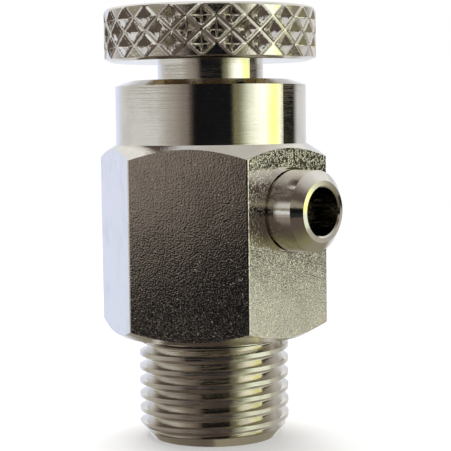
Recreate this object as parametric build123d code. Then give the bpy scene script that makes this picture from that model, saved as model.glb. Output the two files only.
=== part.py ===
from build123d import *
import math
import os

# Small angle needle valve: a hexagonal body with a male pipe thread below, a side outlet
# spout, and a knurled knob that screws a needle down on a plastic seat.
# Frame: +Z up along the stem, +X along the spout, origin on the stem's axis in the plane
# of the hexagon's lower shoulder.  Millimetres and degrees.  Modelled one turn open.

# hexagon and collar
hex_across_flats = 13.0
hex_shoulder_r = 6.10
shoulder_inner_r = 4.95
shoulder_recess = 0.15
hex_bottom_slope = 30.0
hex_top_slope = 33.0
hex_edge_round = 0.16
collar_r = 6.134
collar_bottom = 12.27
collar_top = 16.33
collar_chamfer_r = 1.0
collar_chamfer_z = 0.35

# inlet shank, G1/8 parallel pipe thread
pipe_major_r = 4.864
pipe_root_r = 4.283
pipe_pitch = 0.907
pipe_half_angle = 27.5
pipe_crest_width = 0.26
pipe_length = 6.73
pipe_end_r = 4.05
pipe_end_angle = 39.0
pipe_neck = 0.38
pipe_neck_slope = 15.0

# flow path inside the body
inlet_bore_r = 1.6
inlet_bore_top = 4.0
seat_lip_r = 1.1
seat_bottom = 4.6
seat_top = 6.1
seat_r = 2.6
seat_hole_r = 0.9
chamber_bottom = 6.2
chamber_r = 3.0

# side outlet spout
spout_z = 8.175
spout_bore_r = 1.5
spout_tube_r = 2.52
spout_spigot_r = 2.0
spout_feed_r = 1.3
spout_spigot_depth = 2.3
spout_reach = 2.79
spout_ring_r = 2.68
spout_ring_width = 0.36
spout_groove_r = 2.35
spout_groove_width = 0.14
spout_nose_r = 1.90
spout_nose_length = 0.58
spout_lip_r = 1.60
spout_lip_drop = 0.05
spout_mouth_chamfer = 0.08

# bonnet bush, screwed into the collar with an M9 x 0.75 thread
gasket_bottom = 10.0
gasket_thickness = 0.4
gasket_inner_r = 3.1
bush_socket_r = 3.75
bush_nose_r = 3.7
bush_thread_bottom = 12.3
bush_thread_r = 4.5
bush_thread_pitch = 0.75
bush_lead = 0.75
bush_top = 16.3
bush_slot_width = 1.0
bush_slot_depth = 0.8
seal_bore_r = 2.45
nut_bottom = 12.65
nut_top = 15.0
journal_bore_r = 3.45

# spindle, M6 x 0.5
spindle_thread_r = 3.0
spindle_pitch = 0.5
spindle_bottom = 8.85
spindle_land_r = 2.35
spindle_thread_bottom = 13.15
spindle_relief_bottom = 15.25
spindle_relief_r = 2.6
journal_bottom = 15.55
journal_r = 3.4

# stem O-ring
o_ring_z = 11.4
o_ring_inner_r = 1.77
o_ring_outer_r = 2.43
o_ring_half_height = 0.42
o_ring_groove_r = 1.75
o_ring_groove_half_width = 0.47

# retaining ring under the bush
clip_bottom = 9.2
clip_thickness = 0.4
clip_inner_r = 1.96
clip_outer_r = 2.85
clip_gap = 1.2
clip_groove_r = 1.95
clip_groove_play = 0.02

# needle
needle_shank_r = 1.1
needle_shank_top = 10.7
needle_cone_top = 7.18
needle_half_angle = 20.0
needle_tip_r = 0.3
needle_socket_play = 0.05

# knob
knob_r = 6.8
knob_bottom = 17.52
knob_thickness = 3.4
knob_top_round = 0.38
knob_bottom_chamfer_r = 0.5
knob_bottom_chamfer_z = 0.2
knob_web = 1.5
knob_recess_r = 2.9
knob_recess_chamfer = 0.25
tenon_r = 2.0
tenon_across_flats = 3.2
tenon_play = 0.02
tenon_gap = 0.05

# knurl: rows of recessed pyramids, each row turned half a pitch from the one below
pits_around = 23
pit_half_width = 0.642
pit_half_height = 0.594
pit_depth = 0.42
pit_overcut = 0.3
pit_first_row_z = 0.84
pit_row_step = 0.86
pit_rows = 3
pit_phase = -4.2

# knob screw, M2.5 x 0.45 slotted cheese head, and its washer
screw_r = 1.25
screw_pitch = 0.45
screw_length = 5.0
screw_head_r = 2.2
screw_head_height = 1.3
screw_head_chamfer = 0.15
screw_slot_width = 0.6
screw_slot_depth = 0.65
screw_hole_extra = 0.8
washer_r = 2.7
washer_hole_r = 1.35
washer_thickness = 0.4

# threads
metric_half_angle = 30.0
metric_crest_share = 1 / 8
metric_root_share = 0.6134
metric_hole_share = 0.5413
thread_flank_play = 0.02
thread_crest_play = 0.05
skim = 0.02
overcut = 0.3
far_seam = 170.0

hex_flat_x = hex_across_flats / 2
hex_corner_r = hex_flat_x / math.cos(math.radians(30))
bush_bottom = gasket_bottom + gasket_thickness
knob_top = knob_bottom + knob_thickness
knob_floor = knob_bottom + knob_web
tenon_top = knob_floor - tenon_gap
screw_seat = knob_floor + washer_thickness


def turned(*profile, seam=0):
    """A solid of revolution about Z from (radius, z) points, its seam at the given angle."""
    outline = Polyline(*[(r, 0, z) for r, z in profile], close=True)
    return Rot(0, 0, seam) * revolve(make_face(outline), axis=Axis.Z)


def rod(r, bottom, top):
    """A plain cylinder on the Z axis."""
    return turned((0, bottom), (r, bottom), (r, top), (0, top))


def tube(inner_r, outer_r, bottom, top):
    """A plain ring on the Z axis."""
    return turned((inner_r, bottom), (outer_r, bottom), (outer_r, top), (inner_r, top))


def helix_cutter(inner_r, inner_half, outer_r, outer_half, pitch, start_z, end_z):
    """Sweep a trapezoid along a right-hand helix that starts at angle zero."""
    path = Helix(pitch, end_z - start_z, (inner_r + outer_r) / 2, center=(0, 0, start_z))
    corners = [
        (inner_r, 0, start_z - inner_half),
        (outer_r, 0, start_z - outer_half),
        (outer_r, 0, start_z + outer_half),
        (inner_r, 0, start_z + inner_half),
    ]
    return sweep(make_face(Polyline(*corners, close=True)), path=path, is_frenet=True)


def outside_cutter(crest_r, root_r, crest_width, half_angle, pitch, start_z, end_z):
    """The groove of an outside thread: narrow at the root, open past the crest."""
    slope = math.tan(math.radians(half_angle))
    mouth_r = crest_r + skim
    mouth_half = (pitch - crest_width) / 2 + skim * slope
    root_half = mouth_half - (mouth_r - root_r) * slope
    return helix_cutter(root_r, root_half, mouth_r, mouth_half, pitch, start_z, end_z)


def metric_outside_cutter(basic_r, pitch, start_z, end_z):
    """Groove of a metric outside thread, its flanks and crest eased by the play."""
    slope = math.tan(math.radians(metric_half_angle))
    crest_r = basic_r - thread_crest_play
    crest_width = pitch * metric_crest_share + 2 * thread_crest_play * slope - 2 * thread_flank_play
    root_r = basic_r - pitch * metric_root_share
    return outside_cutter(
        crest_r, root_r, crest_width, metric_half_angle, pitch, start_z, end_z
    )


def metric_inside_cutter(basic_r, pitch, start_z, end_z):
    """Groove of a metric inside thread, half a pitch above the outside thread's groove."""
    slope = math.tan(math.radians(metric_half_angle))
    root_r = basic_r + thread_flank_play
    root_half = pitch * metric_crest_share / 2 + thread_flank_play
    mouth_r = metric_hole_r(basic_r, pitch) - skim
    mouth_half = root_half + (root_r - mouth_r) * slope
    half = pitch / 2
    return helix_cutter(
        mouth_r, mouth_half, root_r, root_half, pitch, start_z + half, end_z + half
    )


def metric_hole_r(basic_r, pitch):
    """Radius of the hole that a metric inside thread is cut in."""
    return basic_r - pitch * metric_hole_share


def hexagon():
    """Hexagon with a face square to +X, chamfered by cones, its shoulder recessed inside."""
    outline = RegularPolygon(hex_flat_x, 6, major_radius=False, rotation=30)
    prism = extrude(outline, collar_bottom)
    prism = fillet(prism.edges().filter_by(Axis.Z), hex_edge_round)
    beyond_r = hex_corner_r + overcut
    bottom_rise = (beyond_r - hex_shoulder_r) * math.tan(math.radians(hex_bottom_slope))
    top_drop = (beyond_r - collar_r) * math.tan(math.radians(hex_top_slope))
    envelope = turned(
        (0, shoulder_recess),
        (shoulder_inner_r, shoulder_recess),
        (shoulder_inner_r, 0),
        (hex_shoulder_r, 0),
        (beyond_r, bottom_rise),
        (beyond_r, collar_bottom - top_drop),
        (collar_r, collar_bottom),
        (0, collar_bottom),
    )
    return prism & envelope


def collar():
    """Round collar above the hexagon, with a shallow chamfer at its top edge."""
    return turned(
        (0, collar_bottom - overcut),
        (collar_r, collar_bottom - overcut),
        (collar_r, collar_top - collar_chamfer_z),
        (collar_r - collar_chamfer_r, collar_top),
        (0, collar_top),
    )


def pipe_shank():
    """Threaded shank below the hexagon, with a run-out neck and a chamfered end."""
    turns = math.ceil(pipe_length / pipe_pitch) + 0.5
    bar = rod(pipe_major_r, -turns * pipe_pitch + pipe_pitch / 2, -pipe_neck / 2)
    groove = outside_cutter(
        pipe_major_r,
        pipe_root_r,
        pipe_crest_width,
        pipe_half_angle,
        pipe_pitch,
        -turns * pipe_pitch,
        -pipe_neck / 2,
    )
    beyond_r = pipe_major_r + overcut
    end_rise = (beyond_r - pipe_end_r) / math.tan(math.radians(pipe_end_angle))
    neck_drop = (beyond_r - pipe_root_r) * math.tan(math.radians(pipe_neck_slope))
    envelope = turned(
        (0, -pipe_length),
        (pipe_end_r, -pipe_length),
        (beyond_r, -pipe_length + end_rise),
        (beyond_r, -pipe_neck - neck_drop),
        (pipe_root_r, -pipe_neck),
        (pipe_root_r, 0),
        (0, 0),
    )
    neck = rod(pipe_root_r, -pipe_neck, shoulder_recess + overcut)
    return ((bar - groove) & envelope) + neck


def valve_body():
    """Nickel-plated body: shank, hexagon and collar, bored from both ends and the side."""
    hole_r = metric_hole_r(bush_thread_r, bush_thread_pitch)
    bore = turned(
        (0, -pipe_length - overcut),
        (inlet_bore_r, -pipe_length - overcut),
        (inlet_bore_r, inlet_bore_top),
        (seat_lip_r, inlet_bore_top),
        (seat_lip_r, seat_bottom),
        (seat_r, seat_bottom),
        (seat_r, chamber_bottom),
        (chamber_r, chamber_bottom),
        (chamber_r, gasket_bottom),
        (bush_socket_r, gasket_bottom),
        (bush_socket_r, bush_thread_bottom),
        (hole_r, bush_thread_bottom),
        (hole_r, collar_top + overcut),
        (0, collar_top + overcut),
        seam=far_seam,
    )
    thread = metric_inside_cutter(
        bush_thread_r, bush_thread_pitch, bush_thread_bottom, collar_top + bush_thread_pitch
    )
    outlet = along_spout(rod(spout_feed_r, 0, hex_flat_x))
    socket_floor = hex_flat_x - spout_spigot_depth
    socket = along_spout(rod(spout_spigot_r, socket_floor, hex_flat_x + overcut))
    return pipe_shank() + hexagon() + collar() - bore - thread - outlet - socket


def along_spout(solid):
    """Turn a solid made along +Z onto the spout's axis, along +X."""
    return Pos(0, 0, spout_z) * Rot(0, 90, 0) * solid


def outlet_spout():
    """Side tube with a spigot pressed into the body, a shoulder ring and a chamfered nose."""
    tip = hex_flat_x + spout_reach
    ring_end = hex_flat_x + spout_ring_width
    groove_end = ring_end + spout_groove_width
    profile = turned(
        (spout_bore_r, hex_flat_x - spout_spigot_depth),
        (spout_spigot_r, hex_flat_x - spout_spigot_depth),
        (spout_spigot_r, hex_flat_x),
        (spout_ring_r, hex_flat_x),
        (spout_ring_r, ring_end),
        (spout_groove_r, ring_end),
        (spout_groove_r, groove_end),
        (spout_tube_r, groove_end),
        (spout_tube_r, tip - spout_nose_length),
        (spout_nose_r, tip - spout_lip_drop),
        (spout_lip_r, tip),
        (spout_bore_r, tip - spout_mouth_chamfer),
    )
    return along_spout(profile)


def seat_ring():
    """Plastic seat pressed into the pocket over the inlet."""
    return tube(seat_hole_r, seat_r, seat_bottom, seat_top)


def bonnet_gasket():
    """Flat ring that seals the bush's nose against the body."""
    return tube(gasket_inner_r, bush_nose_r, gasket_bottom, bush_bottom)


def bonnet_bush():
    """Threaded bush: seal bore below, spindle nut in the middle, journal bore on top."""
    nut_hole_r = metric_hole_r(spindle_thread_r, spindle_pitch)
    outer_r = bush_thread_r - thread_crest_play
    blank = turned(
        (seal_bore_r, bush_bottom),
        (bush_nose_r, bush_bottom),
        (bush_nose_r, bush_thread_bottom),
        (outer_r, bush_thread_bottom + bush_lead),
        (outer_r, bush_top),
        (journal_bore_r, bush_top),
        (journal_bore_r, nut_top),
        (nut_hole_r, nut_top),
        (nut_hole_r, nut_bottom),
        (seal_bore_r, nut_bottom),
    )
    outside = metric_outside_cutter(
        bush_thread_r, bush_thread_pitch, bush_thread_bottom, bush_top + bush_thread_pitch
    )
    nut = metric_inside_cutter(
        spindle_thread_r, spindle_pitch, nut_bottom - spindle_pitch, nut_top + spindle_pitch
    )
    nut = nut & rod(journal_bore_r, nut_bottom, nut_top + 2 * spindle_pitch)
    slot = Pos(0, 0, bush_top) * Box(2 * bush_thread_r + 1, bush_slot_width, 2 * bush_slot_depth)
    return blank - outside - nut - slot


def double_d(r, across_flats, bottom, top):
    """A round bar with two flats, on the Z axis."""
    bar = rod(r, bottom, top)
    middle = Pos(0, 0, (bottom + top) / 2) * Box(across_flats, 2 * r, top - bottom)
    return bar & middle


def spindle_thread():
    """The threaded length of the spindle, chamfered down to the land at its lower end."""
    thread_r = spindle_thread_r - thread_crest_play
    bar = rod(thread_r, nut_bottom - spindle_pitch, spindle_relief_bottom)
    groove = metric_outside_cutter(
        spindle_thread_r,
        spindle_pitch,
        nut_bottom - spindle_pitch,
        spindle_relief_bottom + spindle_pitch / 2,
    )
    beyond_r = spindle_thread_r + overcut
    run_in = turned(
        (spindle_land_r, nut_bottom - 2 * spindle_pitch),
        (beyond_r, nut_bottom - 2 * spindle_pitch),
        (beyond_r, spindle_thread_bottom + beyond_r - spindle_land_r),
        (spindle_land_r, spindle_thread_bottom),
    )
    return bar - groove - run_in


def spindle():
    """Stem: seal land, clip and O-ring grooves, thread, journal and double-D tenon."""
    screw_hole_r = metric_hole_r(screw_r, screw_pitch)
    screw_hole_bottom = screw_seat - screw_length - screw_hole_extra
    land = rod(spindle_land_r, spindle_bottom, spindle_thread_bottom)
    upper = turned(
        (0, spindle_relief_bottom),
        (spindle_relief_r, spindle_relief_bottom),
        (spindle_relief_r, journal_bottom),
        (journal_r, journal_bottom),
        (journal_r, knob_bottom),
        (0, knob_bottom),
    )
    tenon = double_d(tenon_r, tenon_across_flats, knob_bottom, tenon_top)
    stem = spindle_thread() + land + upper + tenon
    o_ring_groove = tube(
        o_ring_groove_r,
        spindle_land_r + overcut,
        o_ring_z - o_ring_groove_half_width,
        o_ring_z + o_ring_groove_half_width,
    )
    clip_groove = tube(
        clip_groove_r,
        spindle_land_r + overcut,
        clip_bottom - clip_groove_play,
        clip_bottom + clip_thickness + clip_groove_play,
    )
    needle_socket = rod(needle_shank_r, spindle_bottom, needle_shank_top + needle_socket_play)
    screw_hole = rod(screw_hole_r, screw_hole_bottom, tenon_top)
    screw_thread = metric_inside_cutter(screw_r, screw_pitch, screw_hole_bottom, tenon_top)
    return stem - o_ring_groove - clip_groove - needle_socket - screw_hole - screw_thread


def stem_o_ring():
    """O-ring in the spindle's groove, pressed to an oval between groove and bore."""
    mean_r = (o_ring_inner_r + o_ring_outer_r) / 2
    half_section = (o_ring_outer_r - o_ring_inner_r) / 2
    section = Plane.XZ * Pos(mean_r, o_ring_z) * Ellipse(half_section, o_ring_half_height)
    return revolve(section, axis=Axis.Z)


def retaining_ring():
    """Open ring in the spindle's lower groove, which meets the bush at full open."""
    ring = tube(clip_inner_r, clip_outer_r, clip_bottom, clip_bottom + clip_thickness)
    gap = Pos(-clip_outer_r, 0, clip_bottom) * Box(2 * clip_outer_r, clip_gap, 4 * clip_thickness)
    return ring - gap


def needle_tip():
    """Hard needle: a shank pressed into the spindle and a cone that enters the seat."""
    cone_height = (needle_shank_r - needle_tip_r) / math.tan(math.radians(needle_half_angle))
    return turned(
        (0, needle_cone_top - cone_height),
        (needle_tip_r, needle_cone_top - cone_height),
        (needle_shank_r, needle_cone_top),
        (needle_shank_r, needle_shank_top),
        (0, needle_shank_top),
    )


def knurl_pit():
    """One pyramid-shaped pit, made along +X at the height of the knob's underside."""
    scale = (pit_depth + pit_overcut) / pit_depth
    half_width = pit_half_width * scale
    half_height = pit_half_height * scale
    mouth_x = knob_r + pit_overcut
    corners = [(half_width, 0), (0, half_height), (-half_width, 0), (0, -half_height)]
    mouth = make_face(Polyline(*[(mouth_x, y, z) for y, z in corners], close=True))
    return loft([mouth, Vertex(knob_r - pit_depth, 0, 0)])


def knob():
    """Knurled knob: recessed pyramids round the rim, a screw recess on top."""
    chamfer_top = knob_bottom + knob_bottom_chamfer_z
    blank = turned(
        (0, knob_bottom),
        (knob_r - knob_bottom_chamfer_r, knob_bottom),
        (knob_r, chamfer_top),
        (knob_r, knob_top),
        (0, knob_top),
    )
    blank = fillet(blank.edges().group_by(Axis.Z)[-1], knob_top_round)
    recess = turned(
        (0, knob_floor),
        (knob_recess_r, knob_floor),
        (knob_recess_r, knob_top - knob_recess_chamfer),
        (knob_recess_r + 2 * knob_recess_chamfer, knob_top + knob_recess_chamfer),
        (0, knob_top + knob_recess_chamfer),
    )
    tenon_hole = double_d(
        tenon_r + tenon_play,
        tenon_across_flats + 2 * tenon_play,
        knob_bottom - overcut,
        knob_floor + overcut,
    )
    pit = knurl_pit()
    pitch_angle = 360 / pits_around
    pits = []
    for row in range(pit_rows):
        height = knob_bottom + pit_first_row_z + row * pit_row_step
        row_phase = pit_phase + (row % 2) * pitch_angle / 2
        for i in range(pits_around):
            pits.append(Pos(0, 0, height) * Rot(0, 0, row_phase + i * pitch_angle) * pit)
    return blank - recess - tenon_hole - pits


def knob_washer():
    """Flat washer under the knob screw's head."""
    return tube(washer_hole_r, washer_r, knob_floor, screw_seat)


def knob_screw():
    """Slotted cheese-head screw that clamps the knob on the spindle's tenon."""
    head_top = screw_seat + screw_head_height
    shank_r = screw_r - thread_crest_play
    screw = turned(
        (0, screw_seat - screw_length),
        (shank_r, screw_seat - screw_length),
        (shank_r, screw_seat),
        (screw_head_r, screw_seat),
        (screw_head_r, head_top - screw_head_chamfer),
        (screw_head_r - screw_head_chamfer, head_top),
        (0, head_top),
        seam=far_seam,
    )
    hole_bottom = screw_seat - screw_length - screw_hole_extra
    thread = metric_outside_cutter(
        screw_r, screw_pitch, hole_bottom + screw_pitch, tenon_top + screw_pitch / 4
    )
    slot = Pos(0, 0, head_top) * Box(3 * screw_head_r, screw_slot_width, 2 * screw_slot_depth)
    return screw - thread - slot


pieces = {
    "valve_body": valve_body,
    "outlet_spout": outlet_spout,
    "seat_ring": seat_ring,
    "bonnet_gasket": bonnet_gasket,
    "bonnet_bush": bonnet_bush,
    "spindle": spindle,
    "stem_o_ring": stem_o_ring,
    "retaining_ring": retaining_ring,
    "needle_tip": needle_tip,
    "knob": knob,
    "knob_washer": knob_washer,
    "knob_screw": knob_screw,
}

os.makedirs("parts", exist_ok=True)
for name, make in pieces.items():
    export_step(make(), os.path.join("parts", name + ".step"))
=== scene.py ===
import math

import bmesh
import bpy
from mathutils import Matrix, Vector


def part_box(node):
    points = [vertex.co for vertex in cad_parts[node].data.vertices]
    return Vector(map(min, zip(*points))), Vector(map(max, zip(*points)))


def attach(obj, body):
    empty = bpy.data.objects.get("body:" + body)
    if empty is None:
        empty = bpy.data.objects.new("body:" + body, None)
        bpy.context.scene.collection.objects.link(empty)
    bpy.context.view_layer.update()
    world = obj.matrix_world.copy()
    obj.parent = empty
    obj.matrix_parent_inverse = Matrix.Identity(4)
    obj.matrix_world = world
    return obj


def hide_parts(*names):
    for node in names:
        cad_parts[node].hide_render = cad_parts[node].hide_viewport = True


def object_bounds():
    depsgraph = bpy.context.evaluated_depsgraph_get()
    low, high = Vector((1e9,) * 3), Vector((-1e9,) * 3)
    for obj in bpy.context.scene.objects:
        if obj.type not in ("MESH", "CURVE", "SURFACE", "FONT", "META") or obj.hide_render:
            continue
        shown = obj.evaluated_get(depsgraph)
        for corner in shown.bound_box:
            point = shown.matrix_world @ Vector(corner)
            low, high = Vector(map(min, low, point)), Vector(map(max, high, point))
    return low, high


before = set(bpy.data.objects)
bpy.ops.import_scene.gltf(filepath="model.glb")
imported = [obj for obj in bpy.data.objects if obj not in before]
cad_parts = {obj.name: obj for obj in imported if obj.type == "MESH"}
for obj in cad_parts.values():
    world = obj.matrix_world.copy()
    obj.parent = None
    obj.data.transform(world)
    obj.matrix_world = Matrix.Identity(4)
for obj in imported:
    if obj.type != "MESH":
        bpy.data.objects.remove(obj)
cad_low, cad_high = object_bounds()

# Lengths are metres in the CAD's frame, angles are degrees.
MM = 0.001

# the hexagon ends and the round collar begins at this height
collar_bottom = 12.27 * MM

# camera: where it stands round the valve, and how it is turned
camera_azimuth = -46.76
camera_distance = 93.65 * MM
camera_height = 14.12 * MM
camera_pitch = 4.39
camera_yaw = 0.524
camera_roll = -0.683
camera_lens = 115.32
camera_sensor = 36.0

# knurl, as it is cut in the CAD knob
pits_around = 23
pit_half_width = 0.642 * MM
pit_half_height = 0.594 * MM
pit_depth = 0.42 * MM
pit_first_row = 0.84 * MM
pit_row_step = 0.86 * MM
pit_rows = 3
pit_phase = -4.2
lip_height = 0.075 * MM
lip_offset = 0.035 * MM
lip_spread = 0.075 * MM
columns_per_pit = 28
rim_rows = 72
rim_crowding = 0.25
sharp_angle = 38

# knob profile
knob_bottom_chamfer_r = 0.5 * MM
knob_bottom_chamfer_z = 0.2 * MM
knob_top_round = 0.38 * MM
knob_recess_r = 2.9 * MM
knob_recess_chamfer = 0.25 * MM
knob_web = 1.5 * MM
tenon_hole_r = 2.02 * MM

# stage
floor_radius = 400 * MM
floor_solid_radius = 60 * MM
floor_fade_share = 0.6
floor_clear_centre = 0.4
floor_colour = (0.86, 0.86, 0.86, 1)
backdrop_colour = (1.0, 1.0, 1.0, 1)
panel_place = (-0.08, 0.05, 0.32)
panel_size = 0.35
panel_watts = 1.6

# nickel plate: noise scales are features per millimetre, bump depths are metres
nickel_tint = (0.80, 0.775, 0.73, 1)
stain_scale = 0.5
stain_shade = 0.88
gloss_scale = 3.0
gloss_low = 0.04
gloss_high = 0.09
lathe_scale = 7.0
lathe_stretch = 0.02
body_lathe_depth = 0.004 * MM
fine_lathe_depth = 0.006 * MM
fine_grain_scale = 6.5
fine_grain_depth = 0.003 * MM
knurl_lathe_depth = 0.001 * MM
knurl_grain_depth = 0.006 * MM
stroke_scale = 8.0
stroke_stretch = 0.08
stroke_depth = 0.002 * MM
grain_scale = 10.0
grain_depth = 0.006 * MM
turned_grain_share = 0.15
pock_scale = 5.0
pock_depth = 0.010 * MM
nick_scale = 4.0
nick_depth = 0.020 * MM


# ---------------------------------------------------------------- node helpers


class Graph:
    """A small builder for shader nodes: each call adds a node and links its inputs."""

    def __init__(self, tree):
        self.tree = tree
        self.tree.nodes.clear()

    def add(self, kind, inputs=None, **settings):
        node = self.tree.nodes.new(kind)
        for name, value in settings.items():
            setattr(node, name, value)
        for name, value in (inputs or {}).items():
            socket = node.inputs[name]
            if isinstance(value, bpy.types.NodeSocket):
                self.tree.links.new(value, socket)
            else:
                socket.default_value = value
        return node

    def math(self, operation, a, b=0.0, c=0.0):
        return self.add("ShaderNodeMath", {0: a, 1: b, 2: c}, operation=operation).outputs[0]

    def product(self, a, b):
        return self.math("MULTIPLY", a, b)

    def smooth(self, value, low, high, to_low=0.0, to_high=1.0):
        node = self.add(
            "ShaderNodeMapRange",
            {"Value": value, "From Min": low, "From Max": high, "To Min": to_low, "To Max": to_high},
            interpolation_type="SMOOTHSTEP",
        )
        return node.outputs["Result"]

    def ramp(self, value, stops):
        node = self.add("ShaderNodeValToRGB", {"Fac": value})
        elements = node.color_ramp.elements
        node.color_ramp.interpolation = "LINEAR"
        while len(elements) > 1:
            elements.remove(elements[-1])
        elements[0].position = stops[0][0]
        elements[0].color = stops[0][1]
        for position, colour in stops[1:]:
            elements.new(position).color = colour
        return node.outputs["Color"]

    def mix(self, factor, a, b):
        node = self.add("ShaderNodeMix", data_type="RGBA")
        for socket, value in ((node.inputs[0], factor), (node.inputs[6], a), (node.inputs[7], b)):
            if isinstance(value, bpy.types.NodeSocket):
                self.tree.links.new(value, socket)
            else:
                socket.default_value = value
        return node.outputs[2]


# ---------------------------------------------------------------- camera


def add_camera():
    """The camera at the photograph's viewing angle, its pose built from named angles."""
    turn = Matrix.Rotation(math.radians(camera_azimuth + 90), 3, "Z")
    yaw, pitch, roll = (math.radians(a) for a in (camera_yaw, camera_pitch, camera_roll))
    right = Vector((math.cos(yaw), -math.sin(yaw), 0))
    level = Vector((math.sin(yaw), math.cos(yaw), 0))
    forward = level * math.cos(pitch) - Vector((0, 0, math.sin(pitch)))
    up = level * math.sin(pitch) + Vector((0, 0, math.cos(pitch)))
    rolled_right = turn @ (right * math.cos(roll) + up * math.sin(roll))
    rolled_up = turn @ (up * math.cos(roll) - right * math.sin(roll))
    back = turn @ -forward
    rotation = Matrix((rolled_right, rolled_up, back)).transposed().to_4x4()
    place = turn @ Vector((0, -camera_distance, camera_height))
    data = bpy.data.cameras.new("camera")
    data.lens = camera_lens
    data.sensor_width = camera_sensor
    data.clip_start = 1 * MM
    data.clip_end = 10
    camera = bpy.data.objects.new("camera", data)
    camera.matrix_world = Matrix.Translation(place) @ rotation
    bpy.context.scene.collection.objects.link(camera)
    bpy.context.scene.camera = camera


# ---------------------------------------------------------------- surroundings


def grey(value):
    return (value, value, value, 1)


# colours of the room, in linear light
white = (0.92, 0.91, 0.88, 1)
bright = (1.55, 1.55, 1.35, 1)
lemon = (1.40, 1.42, 0.50, 1)
cream = (1.0, 1.06, 0.84, 1)
olive = (0.24, 0.23, 0.12, 1)
moss = (0.055, 0.055, 0.032, 1)
pale = (0.84, 0.86, 0.92, 1)
lavender = (0.80, 0.86, 1.06, 1)
warm_grey = (0.72, 0.72, 0.71, 1)
dun = (0.48, 0.45, 0.41, 1)
brown = (0.26, 0.22, 0.19, 1)
khaki = (0.30, 0.27, 0.20, 1)
umber = (0.11, 0.085, 0.07, 1)
black = (0.008, 0.008, 0.009, 1)
beige = (0.50, 0.47, 0.36, 1)
sand = (0.62, 0.60, 0.49, 1)

# what the metal mirrors: (azimuth from the camera, colour) round the room, one list per band
level_stops = [
    (-180, pale),
    (-150, lavender),
    (-132, warm_grey),
    (-68, warm_grey),
    (-52, dun),
    (-32, brown),
    (-28, brown),
    (-24, umber),
    (-20, black),
    (25, black),
    (28, olive),
    (34, olive),
    (46, cream),
    (66, bright),
    (76, lemon),
    (86, lemon),
    (89, bright),
    (94, moss),
    (104, black),
    (117, black),
    (127, warm_grey),
    (180, pale),
]
low_stops = [
    (-180, pale),
    (-150, lavender),
    (-125, beige),
    (-100, dun),
    (-60, brown),
    (-42, grey(0.012)),
    (-20, black),
    (25, grey(0.03)),
    (45, olive),
    (62, cream),
    (85, cream),
    (98, sand),
    (125, dun),
    (150, warm_grey),
    (180, pale),
]
floor_stops = [
    (-180, pale),
    (-145, pale),
    (-120, dun),
    (-95, brown),
    (-35, brown),
    (0, umber),
    (25, umber),
    (52, cream),
    (75, beige),
    (110, dun),
    (150, warm_grey),
    (180, pale),
]
upper_stops = [
    (-180, pale),
    (-142, lavender),
    (-122, dun),
    (-105, khaki),
    (-60, khaki),
    (-40, brown),
    (-18, black),
    (22, black),
    (38, khaki),
    (55, bright),
    (72, bright),
    (84, lemon),
    (100, khaki),
    (125, brown),
    (150, warm_grey),
    (180, pale),
]
soft_stops = [
    (-180, pale),
    (-120, warm_grey),
    (-40, dun),
    (-10, khaki),
    (25, khaki),
    (50, cream),
    (85, cream),
    (105, beige),
    (180, pale),
]
high_stops = [
    (-180, white),
    (-125, white),
    (-108, umber),
    (-62, umber),
    (-48, white),
    (-30, white),
    (-18, umber),
    (28, umber),
    (50, dun),
    (120, white),
    (180, white),
]
under_stops = [
    (-180, khaki),
    (-100, umber),
    (20, umber),
    (60, olive),
    (110, khaki),
    (180, khaki),
]
ceiling_stops = [
    (-180, white),
    (-60, pale),
    (0, warm_grey),
    (60, warm_grey),
    (180, white),
]

# heights, in degrees, over which one band gives way to the next
low_band = (-1.5, -5)
floor_band = (-10.5, -13)
under_band = (-17, -32)
upper_band = (1.3, 2.2)
soft_band = (5, 10)
high_band = (14, 24)
ceiling_band = (52, 62)

# the low band starts higher to the left of this sector, by this many degrees
lean_sector = (-25, -31)
lean_height = 2.5

# a dark patch beside the outlet face: its left, right, upper and lower edges
patch_left = (89, 92)
patch_right = (118, 108)
patch_upper = (-1.0, -1.6)
patch_lower = (-8.0, -4.5)

def sector(azimuth):
    """Ramp position of an azimuth counted from the camera's side, positive to the right."""
    return azimuth / 360 + 0.5


def room_ramp(graph, position, stops):
    """Colours round the room, each (azimuth, colour), blended between neighbours."""
    return graph.ramp(position, [(sector(azimuth), colour) for azimuth, colour in stops])


def room_colour(g, position, elevation):
    """The room's colour in each direction: bands by height, each with its own ramp."""
    lean = g.smooth(position, *map(sector, lean_sector), 0, lean_height)
    leaning = g.math("ADD", elevation, lean)
    room = g.mix(
        g.smooth(leaning, *low_band),
        room_ramp(g, position, level_stops),
        room_ramp(g, position, low_stops),
    )
    left = g.smooth(position, *map(sector, patch_left))
    right = g.smooth(position, *map(sector, patch_right))
    upper = g.smooth(elevation, *patch_upper)
    lower = g.smooth(elevation, *patch_lower)
    room = g.mix(g.product(g.product(left, right), g.product(upper, lower)), room, moss)
    bands = (
        (floor_band, floor_stops),
        (under_band, under_stops),
        (upper_band, upper_stops),
        (soft_band, soft_stops),
        (high_band, high_stops),
        (ceiling_band, ceiling_stops),
    )
    for band, stops in bands:
        room = g.mix(g.smooth(elevation, *band), room, room_ramp(g, position, stops))
    return room


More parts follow.
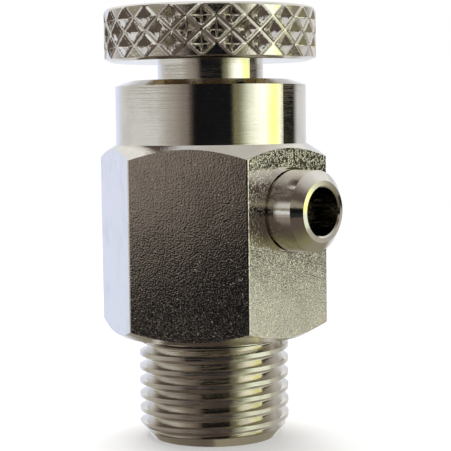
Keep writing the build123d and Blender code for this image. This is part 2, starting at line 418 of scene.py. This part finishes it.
def add_world():
    """A soft room for the metal to mirror, and a plain pale backdrop for the camera."""
    world = bpy.data.worlds.new("room")
    bpy.context.scene.world = world
    world.use_nodes = True
    g = Graph(world.node_tree)
    direction = g.add("ShaderNodeTexCoord").outputs["Generated"]
    x, y, z = g.add("ShaderNodeSeparateXYZ", {0: direction}).outputs
    turned = g.math("SUBTRACT", g.math("ARCTAN2", y, x), math.radians(camera_azimuth))
    position = g.math("FRACT", g.math("MULTIPLY_ADD", turned, 1 / math.tau, 1.5))
    elevation = g.product(g.math("ARCSINE", z), 180 / math.pi)
    seen = g.add("ShaderNodeLightPath").outputs["Is Camera Ray"]
    colour = g.mix(seen, room_colour(g, position, elevation), backdrop_colour)
    background = g.add("ShaderNodeBackground", {"Color": colour, "Strength": 1.0})
    g.add("ShaderNodeOutputWorld", {"Surface": background.outputs[0]})


def add_floor():
    """A plain pale floor that fades into the backdrop."""
    mesh = bpy.data.meshes.new("floor")
    shape = bmesh.new()
    bmesh.ops.create_circle(shape, cap_ends=True, segments=96, radius=floor_radius)
    shape.to_mesh(mesh)
    shape.free()
    floor = bpy.data.objects.new("floor", mesh)
    floor.location.z = cad_low.z
    bpy.context.scene.collection.objects.link(floor)
    floor.visible_glossy = False
    material = bpy.data.materials.new("floor")
    material.use_nodes = True
    g = Graph(material.node_tree)
    place = g.add("ShaderNodeTexCoord").outputs["Object"]
    distance = g.add("ShaderNodeVectorMath", {0: place}, operation="LENGTH").outputs["Value"]
    fade_end = floor_radius * floor_fade_share
    fade = g.smooth(distance, floor_solid_radius, fade_end, floor_clear_centre, 1.0)
    paint = g.add("ShaderNodeBsdfDiffuse", {"Color": floor_colour})
    clear = g.add("ShaderNodeBsdfTransparent")
    both = g.add("ShaderNodeMixShader", {0: fade, 1: paint.outputs[0], 2: clear.outputs[0]})
    g.add("ShaderNodeOutputMaterial", {"Surface": both.outputs[0]})
    mesh.materials.append(material)


def add_lights():
    """One large soft panel overhead; the metal mirrors the room instead of the panel."""
    data = bpy.data.lights.new("panel", "AREA")
    data.shape = "DISK"
    data.size = panel_size
    data.energy = panel_watts
    panel = bpy.data.objects.new("panel", data)
    panel.location = panel_place
    aim = Vector((0, 0, 0)) - panel.location
    panel.rotation_euler = aim.to_track_quat("-Z", "Y").to_euler()
    panel.visible_glossy = False
    bpy.context.scene.collection.objects.link(panel)


# ---------------------------------------------------------------- materials


def new_material(name):
    material = bpy.data.materials.new(name)
    material.use_nodes = True
    return material, Graph(material.node_tree)


def finish_material(g, inputs, normal):
    shader = g.add("ShaderNodeBsdfPrincipled", {**inputs, "Normal": normal})
    g.add("ShaderNodeOutputMaterial", {"Surface": shader.outputs[0]})


def noise(g, place, scale, detail=2.0, roughness=0.5):
    """Noise whose scale is in features per millimetre."""
    inputs = {"Vector": place, "Scale": scale / MM, "Detail": detail, "Roughness": roughness}
    return g.add("ShaderNodeTexNoise", inputs).outputs["Fac"]


def stretched(g, place, x, y, z):
    return g.add("ShaderNodeVectorMath", {0: place, 1: (x, y, z)}, operation="MULTIPLY").outputs[0]


def bump(g, height, depth, normal=None):
    """Bump of a 0 to 1 height, its depth in metres."""
    inputs = {"Height": height, "Distance": depth, "Strength": 1.0}
    if normal is not None:
        inputs["Normal"] = normal
    return g.add("ShaderNodeBump", inputs).outputs[0]


def lathe_rings(g, place, axis="Z"):
    """Fine rings left by turning about an axis: noise drawn out round it."""
    along = (lathe_stretch, lathe_stretch, 1) if axis == "Z" else (1, lathe_stretch, lathe_stretch)
    return noise(g, stretched(g, place, *along), lathe_scale, detail=4.0, roughness=0.75)


def nickel(name, grain_depth, lathe_depth, lathe_axis="Z"):
    """Nickel plate over a turned piece: fine grain, turning rings, soft stains."""
    material, g = new_material(name)
    place = g.add("ShaderNodeTexCoord").outputs["Object"]
    normal = bump(g, lathe_rings(g, place, lathe_axis), lathe_depth)
    fine_grain = noise(g, place, fine_grain_scale, detail=2.0, roughness=0.65)
    normal = bump(g, fine_grain, grain_depth, normal)
    finish_nickel(g, place, normal)
    return material


def milled_zone(g, height):
    """1 on the milled hexagon, 0 on the turned thread and collar."""
    above_shoulder = g.smooth(height, -0.05 * MM, 0.05 * MM)
    below_collar = g.smooth(height, collar_bottom + 0.05 * MM, collar_bottom - 0.1 * MM)
    return g.product(above_shoulder, below_collar)


def body_nickel(name):
    """Nickel on the body: turned collar and thread, and milled, grainy hexagon faces."""
    material, g = new_material(name)
    place = g.add("ShaderNodeTexCoord").outputs["Object"]
    across, _, height = g.add("ShaderNodeSeparateXYZ", {0: place}).outputs
    milled = milled_zone(g, height)
    turned = g.math("SUBTRACT", 1.0, milled)
    normal = bump(g, g.product(lathe_rings(g, place), turned), body_lathe_depth)
    strokes = noise(g, stretched(g, place, 1, 1, stroke_stretch), stroke_scale, detail=2.0)
    normal = bump(g, g.product(strokes, milled), stroke_depth, normal)
    grain = noise(g, place, grain_scale, detail=1.0, roughness=0.5)
    share = g.math("MULTIPLY_ADD", milled, 1 - turned_grain_share, turned_grain_share)
    normal = bump(g, g.product(grain, share), grain_depth, normal)
    outlet_face = g.smooth(across, flat_x - 0.05 * MM, flat_x - 0.01 * MM)
    pocks = g.smooth(noise(g, place, pock_scale, detail=1.0), 0.50, 0.60)
    normal = bump(g, g.product(pocks, outlet_face), pock_depth, normal)
    nicks = g.smooth(noise(g, place, nick_scale, detail=2.0, roughness=0.7), 0.69, 0.74)
    normal = bump(g, g.product(nicks, milled), nick_depth, normal)
    finish_nickel(g, place, normal)
    return material


def finish_nickel(g, place, normal):
    """Soft stains and uneven gloss that every plated piece shares."""
    stain = g.smooth(noise(g, place, stain_scale, detail=4.0), 0.42, 0.72)
    darker = tuple(stain_shade * c for c in nickel_tint[:3]) + (1,)
    gloss = g.smooth(noise(g, place, gloss_scale, detail=3.0), 0.3, 0.75, gloss_low, gloss_high)
    inputs = {
        "Base Color": g.mix(stain, nickel_tint, darker),
        "Metallic": 1.0,
        "Roughness": gloss,
    }
    finish_material(g, inputs, normal)


def plain_metal(name, colour, low, high, ring_depth):
    """Turned metal inside the valve, with fine rings and uneven gloss."""
    material, g = new_material(name)
    place = g.add("ShaderNodeTexCoord").outputs["Object"]
    rings = noise(g, stretched(g, place, 0.02, 0.02, 1), 12.0, detail=3.0)
    patches = noise(g, place, 2.0, detail=4.0)
    dull = tuple(0.85 * c for c in colour[:3]) + (1,)
    inputs = {
        "Base Color": g.mix(g.smooth(patches, 0.35, 0.7), colour, dull),
        "Metallic": 1.0,
        "Roughness": g.smooth(patches, 0.3, 0.7, low, high),
    }
    finish_material(g, inputs, bump(g, rings, ring_depth))
    return material


def soft_material(name, colour, roughness, grain_scale, grain_depth):
    """Plastic, fibre or rubber with a fine grain and slight mottling."""
    material, g = new_material(name)
    place = g.add("ShaderNodeTexCoord").outputs["Object"]
    grain = noise(g, place, grain_scale, detail=3.0)
    shade = tuple(0.8 * c for c in colour[:3]) + (1,)
    inputs = {
        "Base Color": g.mix(g.smooth(grain, 0.35, 0.7), colour, shade),
        "Roughness": roughness,
    }
    finish_material(g, inputs, bump(g, grain, grain_depth))
    return material


def dress(node, material):
    """Give a CAD node one material."""
    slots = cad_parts[node].data.materials
    slots.clear()
    slots.append(material)


def add_materials():
    dress("valve_body", body_nickel("nickel_body"))
    spout = nickel("nickel_spout", fine_grain_depth, fine_lathe_depth, lathe_axis="X")
    dress("outlet_spout", spout)
    dress("spindle", nickel("nickel_stem", fine_grain_depth, fine_lathe_depth))
    dress("bonnet_bush", plain_metal("turned_brass", (0.80, 0.62, 0.32, 1), 0.18, 0.32, 0.004 * MM))
    dress("needle_tip", plain_metal("ground_stainless", (0.62, 0.62, 0.63, 1), 0.12, 0.2, 0.002 * MM))
    zinc = plain_metal("zinc_plate", (0.66, 0.67, 0.70, 1), 0.2, 0.36, 0.002 * MM)
    for node in ("retaining_ring", "knob_washer", "knob_screw"):
        dress(node, zinc)
    dress("seat_ring", soft_material("white_ptfe", (0.86, 0.86, 0.84, 1), 0.45, 6, 0.002 * MM))
    dress("bonnet_gasket", soft_material("red_fibre", (0.38, 0.10, 0.06, 1), 0.8, 8, 0.01 * MM))
    dress("stem_o_ring", soft_material("nitrile", (0.02, 0.02, 0.02, 1), 0.42, 8, 0.002 * MM))


# ---------------------------------------------------------------- knurled knob


def pit_distance(angle, height):
    """Rhombic distance to the nearest pit: 0 at its point, 1 at its edge."""
    nearest = math.inf
    pitch = math.tau / pits_around
    for row in range(pit_rows):
        phase = math.radians(pit_phase) + (row % 2) * pitch / 2
        turned = (angle - phase + pitch / 2) % pitch - pitch / 2
        across = abs(turned) * knob_r / pit_half_width
        upward = abs(height - pit_first_row - row * pit_row_step) / pit_half_height
        nearest = min(nearest, across + upward)
    return nearest


def rim_sink(angle, height):
    """How far the knurled rim lies inside the knob's full radius."""
    distance = pit_distance(angle, height)
    slant = pit_half_width * pit_half_height / math.hypot(pit_half_width, pit_half_height)
    outside = (distance - 1) * slant
    lip = lip_height * math.exp(-(((outside - lip_offset) / lip_spread) ** 2))
    pit = pit_depth * max(0.0, 1 - distance)
    return lip_height - lip + pit


def knob_profile(height):
    """Radius limit of the plain knob at a height above its underside."""
    if height < knob_bottom_chamfer_z:
        return knob_r - knob_bottom_chamfer_r * (1 - height / knob_bottom_chamfer_z)
    below_top = knob_thickness - height
    if below_top < knob_top_round:
        rise = knob_top_round - below_top
        return knob_r - knob_top_round + math.sqrt(max(0.0, knob_top_round**2 - rise**2))
    return knob_r


def rim_height(row):
    """Height of a rim row, with the rows a little closer at the knob's two edges."""
    even = row / rim_rows
    crowded = 0.5 - 0.5 * math.cos(math.pi * even)
    return knob_thickness * (crowded * rim_crowding + even * (1 - rim_crowding))


def make_knob():
    """The knob with its knurl as real geometry: rim, top, screw recess and tenon hole."""
    shape = bmesh.new()
    columns = pits_around * columns_per_pit
    rings = []

    def ring(radius, z):
        points = []
        for i in range(columns):
            angle = math.tau * i / columns
            points.append(shape.verts.new((radius * math.cos(angle), radius * math.sin(angle), z)))
        rings.append(points)

    ring(tenon_hole_r, knob_low.z)
    ring(knob_r - knob_bottom_chamfer_r - lip_height, knob_low.z)
    for row in range(rim_rows + 1):
        height = rim_height(row)
        points = []
        for i in range(columns):
            angle = math.tau * i / columns
            limit = knob_profile(height)
            radius = min(limit, knob_r - rim_sink(angle, height))
            point = (radius * math.cos(angle), radius * math.sin(angle), knob_low.z + height)
            points.append(shape.verts.new(point))
        rings.append(points)
    top = knob_high.z
    floor_z = knob_low.z + knob_web
    ring(knob_recess_r + knob_recess_chamfer, top)
    ring(knob_recess_r, top - knob_recess_chamfer)
    ring(knob_recess_r, floor_z)
    ring(tenon_hole_r, floor_z)
    for low, high in zip(rings, rings[1:] + rings[:1]):
        for i in range(columns):
            j = (i + 1) % columns
            shape.faces.new((low[i], low[j], high[j], high[i]))
    bmesh.ops.recalc_face_normals(shape, faces=shape.faces)
    mesh = bpy.data.meshes.new("knurled_knob")
    shape.to_mesh(mesh)
    shape.free()
    mesh.shade_smooth()
    mesh.set_sharp_from_angle(angle=math.radians(sharp_angle))
    knob = bpy.data.objects.new("knurled_knob", mesh)
    bpy.context.scene.collection.objects.link(knob)
    mesh.materials.append(nickel("nickel_knurl", knurl_grain_depth, knurl_lathe_depth))
    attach(knob, "stem")
    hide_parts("knob")


knob_low, knob_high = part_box("knob")
knob_r = knob_high.x
knob_thickness = knob_high.z - knob_low.z
flat_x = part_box("valve_body")[1].x

add_camera()
add_world()
add_floor()
add_lights()
add_materials()
make_knob()

view = bpy.context.scene.view_settings
view.view_transform = "Standard"
view.look = "None"
